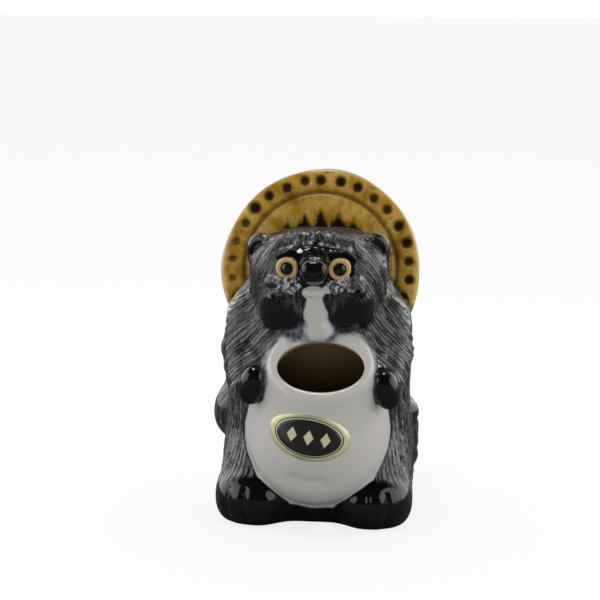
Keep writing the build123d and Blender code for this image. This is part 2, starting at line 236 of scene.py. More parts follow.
def torso(p):
    x, y, z = p
    half_width = profile(z, TORSO_HEIGHTS, TORSO_HALF_WIDTHS, TORSO_EASE)
    half_depth = profile(z, TORSO_HEIGHTS, TORSO_HALF_DEPTHS, TORSO_EASE)
    bell = oval(x - TORSO_X, y, half_width, half_depth)
    d = cut(bell, -np.maximum(z - TORSO_TOP, TORSO_BOTTOM - z), TORSO_EDGE)
    for sign in (1, -1):
        haunch = ellipsoid(p, (TORSO_X + sign * HAUNCH_X, HAUNCH_Y, HAUNCH_Z), HAUNCH_RADII)
        d = join(d, haunch, HAUNCH_JOIN)
    return d


def mouth_axes(p):
    """Points in the mouth's plane: across it, up it and out of it."""
    x, y, z = local(p, MOUTH_CENTRE)
    lean = radians(MOUTH_TILT)
    return x, y * cos(lean) + z * sin(lean), -y * sin(lean) + z * cos(lean)


def belly_pot(p):
    ball = ellipsoid(p, POT_CENTRE, POT_RADII)
    across, up, out = mouth_axes(p)
    down = np.clip(-out, 0, COLLAR_REACH)
    half_width = COLLAR_HALF_WIDTH + COLLAR_SPREAD_WIDTH * down
    half_depth = COLLAR_HALF_DEPTH + COLLAR_SPREAD_DEPTH * down
    collar = oval(across + COLLAR_DRIFT * down, up - COLLAR_LIFT, half_width, half_depth)
    collar = cut(collar, -np.maximum(out, -out - COLLAR_REACH), COLLAR_EDGE)
    crease = limb(p, CREASE_PATH, CREASE_RADII)
    return cut(join(ball, collar, COLLAR_JOIN), crease + CREASE_LIFT, CREASE_EDGE)


def hollow(p):
    """The space inside: the pot, the torso and the mouth."""
    across, up, out = mouth_axes(p)
    wider = MOUTH_FLARE * np.clip(-out - MOUTH_FLARE_START, 0, MOUTH_FLARE_REACH)
    mouth = oval(across, up, MOUTH_HALF_WIDTH + wider, MOUTH_HALF_DEPTH + wider)
    mouth = np.maximum(mouth, np.maximum(out - MOUTH_ABOVE, -out - MOUTH_BELOW))
    inside = np.minimum(torso(p) + WALL, ellipsoid(p, POT_CENTRE, POT_RADII) + POT_WALL)
    return join(np.maximum(inside, BASE_THICKNESS - p[2]), mouth, MOUTH_EDGE)


# Head, and the roll of curls over the brow: two rows of rings, by their number, half span, height and y
HEAD_CENTRE, HEAD_RADII, HEAD_POWER = (0, -6, 94), (26.0, 22.4, 16.1), 2.9
ROLL_RIGHT = ((-19.6, -20.6, 87), (-19.4, -21.2, 95), (-17.6, -21, 102.5), (-13.4, -20.4, 107.4))
ROLL_BROW = ((-6.5, -20.8, 109.1), (0, -21, 109.4), (6.5, -20.8, 109.1))
ROLL_LEFT = ((13, -20.4, 107.5), (16.8, -21, 102.5), (19.2, -21.2, 95), (19.6, -20.6, 87))
ROLL_PATH = ROLL_RIGHT + ROLL_BROW + ROLL_LEFT
ROLL_RADII = (1.6, 1.8, 2.2, 2.4, 2.4, 2.4, 2.4, 2.4, 2.2, 1.8, 1.6)
BROW_ROWS = ((10, 12.4, 111.2, -22.4), (12, 13.8, 109.0, -23.3))
BROW_SAG, BROW_SWEEP, BROW_SEED = 2.0, 1.5, 11
BROW_CURL_RADII, BROW_CURL_THICKNESS = (0.75, 1.15), 0.55
CURL_SCATTER, CURL_JOIN = 0.35, 0.18

# Ears: a shell with a bowl pressed into its front
EAR_CENTRES = {1: (20.6, -10.0, 102.6), -1: (-21.3, -10.0, 101.6)}
EAR_RADII, EAR_LEAN, EAR_TURN = (6.3, 3.6, 8.0), 14, 16
EAR_BOWL_RADII, EAR_BOWL_OFFSET, EAR_EDGE = (4.7, 3.3, 6.2), (0, -2.8, -0.8), 0.5

# Muzzle, nose and chin
MUZZLE_CENTRE, MUZZLE_RADII = (0.3, -28.0, 100.2), (4.8, 8.6, 5.5)
MUZZLE_TILT, MUZZLE_POWER = 4, 2.7
NOSE_CENTRE, NOSE_RADII = (0.5, -35.4, 100.6), (4.6, 2.3, 3.8)
NOSE_TILT, NOSE_POWER = -8, 2.8
NOSTRIL_X, NOSTRIL_PATH = 0.4, ((1.3, -38.0, 99.3), (2.5, -37.8, 99.8))
NOSTRIL_RADII, NOSTRIL_EDGE = (0.55, 0.45), 0.3
CHIN_CENTRE, CHIN_RADII = (-0.3, -28.4, 91.2), (3.8, 2.9, 1.9)
LIP_BEAD_CENTRE, LIP_BEAD_RADII, LIP_BEAD_JOIN = (4.9, -28.2, 92.6), (1.3, 1.3, 1.2), 0.3

# Cheeks: a pad with three rows of rings
CHEEK_CENTRE, CHEEK_RADII, CHEEK_LEAN = (11.8, -25.6, 94.2), (6.6, 3.2, 3.0), 4
CHEEK_ROWS, CHEEK_SPAN, CHEEK_COLUMNS = (95.9, 94.3, 92.8), (6.8, 16.0), 8
CHEEK_CURL_Y, CHEEK_CURL_BEND, CHEEK_CURL_BEND_X = -29.2, 0.045, 8
CHEEK_CURL_SAG, CHEEK_CURL_SAG_X, CHEEK_SEED = 0.1, 11, 21
CHEEK_CURL_RADII, CHEEK_CURL_THICKNESS = (0.5, 0.85), 0.42

# Jowls, with the blisters in their glaze by x, z and half width, and the white throat between them
JOWL_CENTRES = {1: (12.0, -21.9, 85.0), -1: (-11.3, -21.9, 83.6)}
JOWL_RADII, JOWL_POWER = (8.8, 5.8, 8.4), 2.4
BLISTERS = {
    1: ((13.4, 89.2, 1.0), (16.6, 91.2, 1.3)),
    -1: ((-15.6, 88.4, 1.0), (-11.7, 89.4, 1.2), (-13.6, 87.0, 0.8)),
}
BLISTER_Y, BLISTER_DEPTH, BLISTER_SQUAT, BLISTER_JOIN = -27.4, 0.9, 0.7, 0.25
THROAT_PATH = ((0.0, -26.4, 91.0), (0.3, -26.2, 87), (0.5, -25.2, 81), (1.2, -23.2, 76))
THROAT_RADII = (3.2, 3.4, 4.0, 6.4)


def head_shell(p):
    return ellipsoid(p, HEAD_CENTRE, HEAD_RADII, power=HEAD_POWER)


def roll_core(p):
    return limb(p, ROLL_PATH, ROLL_RADII)


def face_roll(p):
    d = roll_core(p)
    dice = np.random.default_rng(BROW_SEED)
    for row, (count, span, height, out) in enumerate(BROW_ROWS):
        for x in np.linspace(-span, span, count):
            arch = (x / span) ** 2
            place = dice.normal(0, CURL_SCATTER, 3) + (x, out + BROW_SWEEP * arch, height - BROW_SAG * arch)
            axis = Vector((x * 0.03, -1, 0.45 - 0.3 * row)) + Vector(dice.normal(0, 0.25, 3))
            size = dice.uniform(*BROW_CURL_RADII)
            d = join(d, ring(p, place, axis.normalized(), size, BROW_CURL_THICKNESS), CURL_JOIN)
    return d


def ear(p, sign):
    turn = turned(y=sign * EAR_LEAN, z=sign * EAR_TURN)
    centre = EAR_CENTRES[sign]
    bowl = [c + o for c, o in zip(centre, EAR_BOWL_OFFSET)]
    return cut(ellipsoid(p, centre, EAR_RADII, turn), ellipsoid(p, bowl, EAR_BOWL_RADII, turn), EAR_EDGE)


def muzzle(p):
    return ellipsoid(p, MUZZLE_CENTRE, MUZZLE_RADII, turned(x=MUZZLE_TILT), power=MUZZLE_POWER)


def nose(p):
    d = ellipsoid(p, NOSE_CENTRE, NOSE_RADII, turned(x=NOSE_TILT), power=NOSE_POWER)
    for sign in (1, -1):
        nostril = [(NOSTRIL_X + sign * x, y, z) for x, y, z in NOSTRIL_PATH]
        d = cut(d, limb(p, nostril, NOSTRIL_RADII), NOSTRIL_EDGE)
    return d


def chin(p):
    bead = ellipsoid(p, LIP_BEAD_CENTRE, LIP_BEAD_RADII)
    return join(ellipsoid(p, CHIN_CENTRE, CHIN_RADII), bead, LIP_BEAD_JOIN)


def cheek_core(p, sign):
    x, y, z = CHEEK_CENTRE
    return ellipsoid(p, (sign * x, y, z), CHEEK_RADII, turned(y=sign * CHEEK_LEAN))


def cheek(p, sign):
    d = cheek_core(p, sign)
    dice = np.random.default_rng(CHEEK_SEED + sign)
    for height in CHEEK_ROWS:
        for x in np.linspace(*CHEEK_SPAN, CHEEK_COLUMNS):
            y = CHEEK_CURL_Y + CHEEK_CURL_BEND * (x - CHEEK_CURL_BEND_X) ** 2
            z = height - CHEEK_CURL_SAG * abs(x - CHEEK_CURL_SAG_X)
            place = dice.normal(0, CURL_SCATTER, 3) + (sign * x, y, z)
            axis = Vector((sign * 0.2, -1, 0.1)) + Vector(dice.normal(0, 0.35, 3))
            size = dice.uniform(*CHEEK_CURL_RADII)
            d = join(d, ring(p, place, axis.normalized(), size, CHEEK_CURL_THICKNESS), CURL_JOIN)
    return d


def jowl(p, sign):
    d = ellipsoid(p, JOWL_CENTRES[sign], JOWL_RADII, power=JOWL_POWER)
    for x, z, size in BLISTERS[sign]:
        blister = ellipsoid(p, (x, BLISTER_Y, z), (size, BLISTER_DEPTH, BLISTER_SQUAT * size))
        d = join(d, blister, BLISTER_JOIN)
    return d


def throat(p):
    return limb(p, THROAT_PATH, THROAT_RADII)


# Arms, by the animal's left one, and paws with grooves between their fingers
ARM_PATH, ARM_RADII = ((27, -10.5, 79), (29, -14.5, 66), (26.5, -24, 55.5)), (7.0, 7.4, 7.0)
PAW_CENTRES = {1: (27.0, -30.2, 55.4), -1: (-22.8, -31.0, 56.0)}
PAW_RADII, PAW_LEAN, PAW_POWER = (5.0, 4.4, 7.6), 14, 2.3
FINGER_GROOVES = (-2.4, 0.0, 2.4)
FINGER_PATH = ((-0.5, -3.6, -8.5), (0, -4.7, -3), (0.2, -4.7, 1.5))
FINGER_RADII, FINGER_EDGE = (0.8, 0.6, 0.2), 0.5

# Feet, cut flat by the floor, with two grooves between the toes
FOOT_CENTRES = {1: (21.8, -19.8, 8.5), -1: (-23.6, -19.8, 8.5)}
FOOT_RADII, FOOT_SPLAY, FOOT_POWER, FOOT_EDGE = (14.6, 14.6, 12.0), 18, 2.3, 0.8
TOE_GROOVES, TOE_FRONT = (-5.5, 2.0), -14.8
TOE_PATH = ((1, 0.8, -7), (1, 1, -1), (0.9, 0.85, 6))
TOE_RADII, TOE_EDGE = (0.3, 0.3, 0.1), 1.0

# Tail, and what hangs at the flanks: a flask, and a book tied with two cords
TAIL_CENTRE, TAIL_RADII, TAIL_LEAN = (0, 32, 19), (9.5, 8.5, 16.5), -12
FLASK_CENTRE, FLASK_RADII = (-34, 3.8, 35), (8.8, 8.8, 11.2)
FLASK_NECK_PATH, FLASK_NECK_RADII = ((-34.4, 3.8, 44), (-34.6, 3.8, 48.3)), (4.2, 3.2)
FLASK_JOIN = 1.2
BOOK_CENTRE, BOOK_HALF, BOOK_ROUNDING, BOOK_TURN = (32.6, 6, 28.5), (5.0, 8.6, 13.4), 4.6, 12
BOOK_CORD_HEIGHTS, BOOK_CORD_RADIUS, BOOK_CORD_EDGE = (22.5, 34.5), 0.5, 0.6
BOOK_CORD_FRONT, BOOK_CORD_BACK = (39.3, -1.0), (36.9, 13.0)


def arm(p, sign):
    return limb(p, [(sign * x, y, z) for x, y, z in ARM_PATH], ARM_RADII)


def paw(p, sign):
    centre = PAW_CENTRES[sign]
    d = ellipsoid(p, centre, PAW_RADII, turned(y=-sign * PAW_LEAN), power=PAW_POWER)
    for across in FINGER_GROOVES:
        groove = [(centre[0] + across + sign * x, centre[1] + y, centre[2] + z) for x, y, z in FINGER_PATH]
        d = cut(d, limb(p, groove, FINGER_RADII), FINGER_EDGE)
    return d


def foot(p, sign):
    centre = Vector(FOOT_CENTRES[sign])
    turn = turned(z=sign * FOOT_SPLAY)
    d = ellipsoid(p, centre, FOOT_RADII, turn, power=FOOT_POWER)
    for across in TOE_GROOVES:
        groove = [centre + turn @ Vector((across * x, TOE_FRONT * y, z)) for x, y, z in TOE_PATH]
        d = cut(d, limb(p, groove, TOE_RADII), TOE_EDGE)
    return cut(d, p[2] + 0 * d, FOOT_EDGE)


def tail(p):
    return ellipsoid(p, TAIL_CENTRE, TAIL_RADII, turned(x=TAIL_LEAN))


def sake_flask(p):
    neck = limb(p, FLASK_NECK_PATH, FLASK_NECK_RADII)
    return join(ellipsoid(p, FLASK_CENTRE, FLASK_RADII), neck, FLASK_JOIN)


def account_book(p):
    d = slab(p, BOOK_CENTRE, BOOK_HALF, BOOK_ROUNDING, turned(z=BOOK_TURN))
    for height in BOOK_CORD_HEIGHTS:
        cord = limb(p, ((*BOOK_CORD_FRONT, height), (*BOOK_CORD_BACK, height)), (BOOK_CORD_RADIUS,) * 2)
        d = cut(d, cord, BOOK_CORD_EDGE)
    return d


SIDES = (("left", 1), ("right", -1))
SIDED_FORMS = {"ear": ear, "cheek": cheek, "jowl": jowl, "arm": arm, "paw": paw, "foot": foot}
BULK = (base_plate, torso, belly_pot, head_shell)
DETAILS = (face_roll, muzzle, nose, chin, throat, tail, sake_flask, account_book)
FORMS = {form.__name__: form for form in BULK + DETAILS}
for side, sign in SIDES:
    for name, form in SIDED_FORMS.items():
        FORMS[f"{side}_{name}"] = lambda p, form=form, sign=sign: form(p, sign)


def both(*names):
    """The left and the right node of each of these names."""
    return tuple(f"{side}_{name}" for name in names for side, _ in SIDES)


TRUNK = ("base_plate", "torso", "head_shell", *both("arm", "jowl", "foot"))
WHITE = ("belly_pot", "throat", "chin")
SHALLOW = ("face_roll", "sake_flask", "account_book", *both("cheek", "ear"))
FURRY = ("base_plate", "torso", "head_shell", "tail", *SHALLOW, *both("arm", "foot"))
FINE_SIDED = both("ear", "cheek", "paw", "jowl")
FINE = ("face_roll", "muzzle", "nose", "chin", "throat", "account_book", *FINE_SIDED)
FORM_ROOM = 6.0


def reach(name):
    """The box, in millimetres, that holds a form, from the CAD nodes of its name with room round them."""
    nodes = ("front_shell", "rear_shell") if name == "torso" else (name,)
    boxes = [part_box(node) for node in nodes]
    low = np.min([b[0] for b in boxes], axis=0) / MM
    high = np.max([b[1] for b in boxes], axis=0) / MM
    return low - FORM_ROOM, high + FORM_ROOM


REACH = {name: reach(name) for name in FORMS}


def distances(p, low, high):
    """The distance to every form that comes near a box."""
    near = {}
    for name, form in FORMS.items():
        form_low, form_high = REACH[name]
        if np.all(form_low < high) and np.all(form_high > low):
            near[name] = form(p)
    return near


def blended(near):
    """One skin over these forms."""
    trunk = sum(np.exp(np.clip(-d / TRUNK_BLEND, -40, 40)) for name, d in near.items() if name in TRUNK)
    total = (trunk + 1e-15) ** (TRUNK_BLEND / BLEND)
    for name, d in near.items():
        if name not in TRUNK:
            total = total + np.exp(np.clip(-d / BLEND, -60, 60))
    return -BLEND * np.log(total + 1e-30)


# Meshing


BAND = 3.0


def mesh_field(field, low, high, step):
    """The closed surface where a field is zero, as points in millimetres and quads."""
    axes = [np.arange(a, b + step, step, dtype=np.float64) for a, b in zip(low, high)]
    values = field(np.meshgrid(*axes, indexing="ij", sparse=True))
    values = np.clip(np.broadcast_to(values, [len(a) for a in axes]), -BAND, BAND).astype(np.float32)
    for axis in range(3):
        edge = [slice(None)] * 3
        for end in (0, -1):
            edge[axis] = end
            values[tuple(edge)] = BAND
    grid = openvdb.FloatGrid(BAND)
    grid.copyFromArray(np.ascontiguousarray(values))
    points, quads = grid.convertToQuads(0.0)
    return points * step + np.array(low), quads.astype(np.int32)


def normals_of(points, quads):
    """Unit normals at the points of a mesh of quads."""
    a, b, c, d = (points[quads[:, i]] for i in range(4))
    across = np.cross(c - a, d - b)
    total = np.zeros_like(points)
    for axis in range(3):
        for i in range(4):
            total[:, axis] += np.bincount(quads[:, i], weights=across[:, axis], minlength=len(points))
    return total / (np.linalg.norm(total, axis=1, keepdims=True) + 1e-12)


def build(name, points, faces, node, material, attributes=None):
    """A smooth mesh object of points in millimetres, standing for a CAD node."""
    mesh = bpy.data.meshes.new(name)
    mesh.from_pydata((np.asarray(points) * MM).tolist(), [], [list(map(int, f)) for f in faces])
    mesh.polygons.foreach_set("use_smooth", np.ones(len(mesh.polygons), dtype=bool))
    for key, values in (attributes or {}).items():
        layer = mesh.attributes.new(key, "FLOAT", "POINT")
        layer.data.foreach_set("value", np.ascontiguousarray(values, dtype=np.float32))
    mesh.materials.append(material)
    mesh.update()
    obj = bpy.data.objects.new(name, mesh)
    bpy.context.scene.collection.objects.link(obj)
    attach(obj, "root")
    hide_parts(node)
    return obj


# Fur: combed strokes that run down the body, cut into the clay and softened by the glaze


# The comb runs round an upright axis and slants towards the belly on the chest and arms
COMB_Y, COMB_RADIUS, COMB_SWAY = 4, 31, 4.0
COMB_SLANT, COMB_LOW, COMB_LEVEL = 0.55, 48, 60
STROKE_PITCH, STROKE_LENGTH = 1.45, 6.0
STROKE_WANDER, STROKE_SHAPE, STROKE_LEAST = 1.1, 0.6, 0.25
FUR_DEPTH, SHALLOW_SHARE = 0.95, 0.35

# Bare glaze: the mask over the eyes, and the feet below a line that rises to the front
MASK_CENTRE, MASK_RADII = (0, -28, 101), (16, 9, 6.5)
BARE_Y, BARE_SLOPE, BARE_BELOW, FURRY_ABOVE = -14, 0.75, 4, 14

# Glaze: how far black and white run into each other, least and at the shoulders of the belly
RUN_LEAST, RUN_EXTRA, RUN_MOTTLE = 0.35, 2.3, 0.8
# Thin glaze and painted highlight on the fur's crests: how much less of it on the head, and how much more
# in front
THIN_AND_SHEEN_ON_HEAD, THIN_AND_SHEEN_IN_FRONT = 0.65, 0.6
FAR = 9.0

# Room round a node's box for its piece, above the floor and beside it, and the edge of the hollow
PIECE_ROOM, FLOOR_ROOM, HOLLOW_EDGE = 4.0, 1.5, 0.5


def comb(points):
    """Two coordinates that follow the fur: across the strokes and along them."""
    x, y, z = points.T
    around = np.arctan2(x, -(y - COMB_Y)) * COMB_RADIUS
    on_front = smooth(np.abs(x), 4, 16) * (np.maximum(z, COMB_LOW) - COMB_LEVEL) * smooth(-y, 2, 16)
    across = around + COMB_SLANT * np.sign(x) * on_front
    across = across + COMB_SWAY * (noise(around / 12, z / 18, 0 * z, 3) - 0.5)
    return across, z


def strokes(points):
    """Height of the fur from -0.5 to 0.5: lines raked side by side, each pressed harder here and there."""
    across, along = comb(points)
    zero = 0 * across
    line = across / STROKE_PITCH + STROKE_WANDER * noise(across / 5, along / 9, zero, 5)
    ridge = np.abs(np.sin(pi * line)) ** STROKE_SHAPE
    press = STROKE_LEAST + (1 - STROKE_LEAST) * noise(np.floor(line), along / STROKE_LENGTH, zero, 6)
    return ridge * press - 0.5


def fur_depth(points, near, p):
    """How deep the fur is cut, in millimetres: none on the smooth pieces, the mask and the inside."""
    depth = np.full(len(points), FUR_DEPTH)
    for name, d in near.items():
        if name not in FURRY:
            depth = depth * smooth(d, 0.2, 2.6)
        if name in SHALLOW:
            depth = depth * (SHALLOW_SHARE + (1 - SHALLOW_SHARE) * smooth(d, 0, 2))
    mask = ellipsoid(p, MASK_CENTRE, MASK_RADII)
    over_feet = p[2] + BARE_SLOPE * np.minimum(p[1] - BARE_Y, 0)
    bare = smooth(mask, 0, 2) * smooth(hollow(p), 0.6, 3)
    return depth * bare * smooth(over_feet, BARE_BELOW, FURRY_ABOVE)


def glaze_marks(points, near, p):
    """Where the white glaze lies, with the black that has run into it, and where the inside begins."""
    none = [np.full(len(points), FAR)]
    white = np.minimum.reduce([d for name, d in near.items() if name in WHITE] or none)
    black = np.minimum.reduce([d for name, d in near.items() if name not in WHITE] or none)
    x, y, z = p
    run = RUN_LEAST + RUN_EXTRA * smooth(z, 42, 58) * (1 - smooth(z, 77, 83))
    mottle = noise(x / 3.2, y / 3.2, z / 3.2, 8) - 0.5 + 0.5 * (noise(x / 1.1, y / 1.1, z / 1.1, 9) - 0.5)
    mark = smooth(black - white + run * RUN_MOTTLE * mottle, -0.3 - 0.5 * run, 0.3 + run)
    out = mouth_axes(p)[2]
    inside = (1 - smooth(hollow(p), 0.5, 1.3)) * smooth(-out, 0.6, 2.0)
    return mark, inside


def curls(near, p):
    """Where the curls stand out of the brow's roll and the cheeks."""
    mark = 0 * p[0]
    cores = {"face_roll": roll_core(p), "left_cheek": cheek_core(p, 1), "right_cheek": cheek_core(p, -1)}
    for name, core in cores.items():
        if name in near:
            mark = np.maximum(mark, smooth(core, 0.25, 0.8) * (1 - smooth(near[name], 0.2, 0.8)))
    return mark


def thin_glaze_and_sheen(height, depth, p):
    """Where the black glaze is thin on the strokes' crests, with a painted highlight there: less on the
    head and more in front.
    """
    crest = smooth(height, -0.3, 0.3) * smooth(depth, 0.1, 0.5)
    on_head = 1 - THIN_AND_SHEEN_ON_HEAD * smooth(p[2], 80, 88)
    return crest * on_head * (1 + THIN_AND_SHEEN_IN_FRONT * smooth(-p[1], 8, 18))


def body_piece(node, form, material, step, side=None):
    """The part of the shared skin that belongs to one form, hollowed and combed, for one CAD node."""
    low, high = (np.array(corner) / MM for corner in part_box(node))
    low, high = low - PIECE_ROOM, high + PIECE_ROOM
    low[2] = max(low[2], -FLOOR_ROOM)

    def field(p):
        near = distances(p, low, high)
        rest = np.minimum.reduce([d for name, d in near.items() if name != form])
        claim = near[form] - rest
        if side is not None:
            claim = np.maximum(claim, side * (p[1] - SEAM_Y))
        body = cut(blended(near), hollow(p), HOLLOW_EDGE)
        return np.maximum(body + DIVE * np.maximum(claim - LAP, 0), claim - OVERLAP)

    points, quads = mesh_field(field, low, high, step)
    p = list(points.T)
    near = distances(p, low, high)
    depth = fur_depth(points, near, p)
    height = strokes(points)
    points = points + normals_of(points, quads) * (depth * height)[:, None]
    points[:, 2] = np.maximum(points[:, 2], 0)
    white, inside = glaze_marks(points, near, p)
    across, along = comb(points)
    marks = {
        "white": white,
        "inside": inside,
        # fur: thin glaze on the crests, partly a painted highlight of the strokes' sheen
        "fur": thin_glaze_and_sheen(height, depth, p),
        "depth": depth,
        "across": across,
        "along": along,
        "curl": curls(near, p),
    }
    return build(f"{node}_skin", points, quads, node, material, marks)


# Hat: a wide disc with its inside to the front, a ring of thumb dimples and a blunt cone behind


HAT_CENTRE, HAT_TILT, HAT_RADIUS, HAT_EDGE = (-1.0, 8.0, 92.7), 15.0, 39.0, 0.8
HAT_FRONT_RADII = (0, 16, 26, 28.6, 29.3, 30.1, 30.8, 33, 36, 39)
HAT_FRONT = (-2.0, -1.6, -1.0, -0.7, -1.5, -1.5, -0.2, 0.3, 0.4, 0.0)
HAT_BACK_RADII, HAT_BACK = (0, 26, 34, 39), (-5.6, -5.4, -4.8, -4.2)
HAT_FRONT_EASE, HAT_BACK_EASE = 0.9, 4.0
HAT_SINK, HAT_SINK_EDGE = 0.9, 0.2
GROOVE_RADIUS = 29.7
HAT_ROOM = 3.0

# Dimples: pressed by hand, so their size and place vary. The first ones are small, and the fifth is wide.
DIMPLE_PITCH, DIMPLE_CIRCLE, DIMPLE_DEPTH, DIMPLE_RADIUS = 12.15, 34.6, 1.25, 2.35
FIRST_DIMPLE, LAST_DIMPLE = -8, 9
FIRST_DIMPLE_RADII = (1.7, 1.8, 1.9, 2.1, 2.9)
DIMPLE_SEED = 5

# Crown: a cone of coiled braid, from its foot to its cut tip
CROWN_FOOT, CROWN_HEIGHT, CROWN_RADIUS, CROWN_EDGE = 4.6, 13.6, 29.0, 1.6
CROWN_TAPER, CROWN_SQUEEZE = 1.42, 0.576
BRAID_PITCH, BRAID_DEPTH = 2.3, 0.35

# Black glaze that has run up from the head: spikes by their place across, height and half width
SPIKES = ((-13.7, 3.4, 3.4), (-7.0, 5.4, 3.4), (-0.3, 6.4, 3.6), (6.4, 4.8, 4.0), (12.3, 2.8, 4.2))
CHIP_ACROSS, CHIP_UP = 32.9, -12.7


def hat_axes(p):
    """Points in the hat's plane: across it, up it and out of its front."""
    x, y, z = local(p, HAT_CENTRE)
    lean = radians(HAT_TILT)
    return x, y * sin(lean) + z * cos(lean), -y * cos(lean) + z * sin(lean)


def dimples(across, up):
    """Distance in the hat's plane from the nearest dimple's middle, and that dimple's radius."""
    pitch = radians(DIMPLE_PITCH)
    index = np.clip(np.round(np.arctan2(across, up) / pitch), FIRST_DIMPLE, LAST_DIMPLE)
    dice = np.random.default_rng(DIMPLE_SEED)
    count = LAST_DIMPLE - FIRST_DIMPLE + 1
    radii = DIMPLE_RADIUS + dice.normal(0, 0.12, count)
    radii[: len(FIRST_DIMPLE_RADII)] = FIRST_DIMPLE_RADII
    place = (index - FIRST_DIMPLE).astype(int)
    angle = index * pitch + dice.normal(0, 0.012, count)[place]
    circle = DIMPLE_CIRCLE + dice.normal(0, 0.25, count)[place]
    away = np.sqrt((across - circle * np.sin(angle)) ** 2 + (up - circle * np.cos(angle)) ** 2)
    return away, radii[place]


def figure(p):
    """The bulk of the animal that the hat is luted to."""
    solid = np.minimum(np.minimum(torso(p), head_shell(p)), np.minimum(arm(p, 1), arm(p, -1)))
    return np.minimum(solid, np.minimum(ear(p, 1), ear(p, -1)))


def hat_brim(p):
    across, up, out = hat_axes(p)
    radius = np.sqrt(across**2 + up**2)
    angle = np.arctan2(across, up)
    wobble = 0.35 * np.sin(3 * angle + 0.8) + 0.2 * np.sin(7 * angle)
    front = profile(radius, HAT_FRONT_RADII, HAT_FRONT, HAT_FRONT_EASE)
    away, size = dimples(across, up)
    front = front - DIMPLE_DEPTH * (size / 2) * np.maximum(1 - (away / size) ** 2, 0) ** 0.7
    back = profile(radius, HAT_BACK_RADII, HAT_BACK, HAT_BACK_EASE)
    d = cut(np.maximum(out - front, back - out), -(radius - HAT_RADIUS - wobble), HAT_EDGE)
    return cut(d, figure(p) + HAT_SINK, HAT_SINK_EDGE)


def hat_crown(p):
    across, up, out = hat_axes(p)
    radius = np.sqrt(across**2 + up**2)
    behind = -out - CROWN_FOOT
    braid = BRAID_DEPTH * np.abs(np.sin(behind * pi / BRAID_PITCH))
    cone = (radius - CROWN_RADIUS + CROWN_TAPER * behind) * CROWN_SQUEEZE - braid
    d = cut(cone, -np.maximum(behind - CROWN_HEIGHT, -behind), CROWN_EDGE)
    return cut(d, figure(p) + HAT_SINK, HAT_SINK_EDGE)


def black_on_hat(points, across, up):
    """How black the hat is over the head: a ragged edge with spikes where the glaze has run."""
    spike = np.zeros(len(points))
    for place, height, half_width in SPIKES:
        spike = np.maximum(spike, height * np.maximum(1 - np.abs(across - place) / half_width, 0))
    ragged = 2.2 * (noise(across / 1.3, up / 3.0, 0 * up, 12) - 0.4)
    ragged = ragged + 1.6 * (noise(across / 0.6, up / 0.9, 0 * up, 13) - 0.5)
    return 1 - smooth(figure(list(points.T)) - spike - ragged, -0.4, 3.6)


def hat_piece(node, field, step, material):
    """The brim or the crown, with marks for its glaze."""
    low, high = (np.array(corner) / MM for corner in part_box(node))
    points, quads = mesh_field(field, low - HAT_ROOM, high + HAT_ROOM, step)
    across, up, out = hat_axes(list(points.T))
    radius = np.sqrt(across**2 + up**2)
    front = smooth(out, -3.5, -2.2)
    away, size = dimples(across, up)
    pool = (1 - smooth(away / size, 0.5, 1.2)) * (0.6 + 0.4 * smooth(size, 1.6, 2.4))
    groove = 1 - smooth(np.abs(radius - GROOVE_RADIUS), 0.4, 1.3)
    chip = 1 - smooth(np.sqrt((across - CHIP_ACROSS) ** 2 + (up - CHIP_UP) ** 2), 0.8, 1.9)
    marks = {
        "pool": np.maximum(pool, 0.6 * groove) * front,
        "dark": black_on_hat(points, across, up) * front,
        "rim": smooth(radius, HAT_RADIUS - 1.6, HAT_RADIUS - 0.4),
        "chip": chip * front,
        "ray": np.arctan2(across, up) * 30,
        "radius": radius,
    }
    return build(f"{node}_form", points, quads, node, material, marks)


# Eyes: an amber button with a raised ring, and a domed pupil set in it


EYE_PLACE, EYE_X, EYE_NORMAL = (9.6, -27.6, 99.9), -0.4, (0.16, -1, 0.1)
EYE_RADIUS, EYE_SEGMENTS = 4.2, 72
PUPIL_RADIUS, PUPIL_HEIGHT, PUPIL_FOOT = 2.3, 0.95, 0.55
PUPIL_RINGS, PUPIL_SEGMENTS = 8, 48

# The button's section, by radius and height: its wall, its rounded edge, a groove and the pupil's seat
EYE_WALL = ((4.2, -4.0), (4.2, 0.1), (4.1, 0.5), (3.85, 0.85), (3.45, 1.05), (3.05, 1.1))
EYE_GROOVE = ((2.9, 1.02), (2.8, 0.95), (2.7, 1.02), (2.55, 1.1), (2.42, 1.12))
EYE_SEAT = ((2.34, 1.0), (2.3, 0.6), (0.4, 0.5))
EYE_SECTION = EYE_WALL + EYE_GROOVE + EYE_SEAT

# The button's outline is cut by hand: its reach at eight corners, as a share of a circle's
ROUND = (1,) * 8
EYE_CORNERS = {
    1: (1.02, 1.10, 0.98, 0.97, 1.03, 1.0, 0.96, 1.0),
    -1: (0.98, 1.02, 0.97, 1.05, 1.08, 1.0, 0.98, 1.04),
}


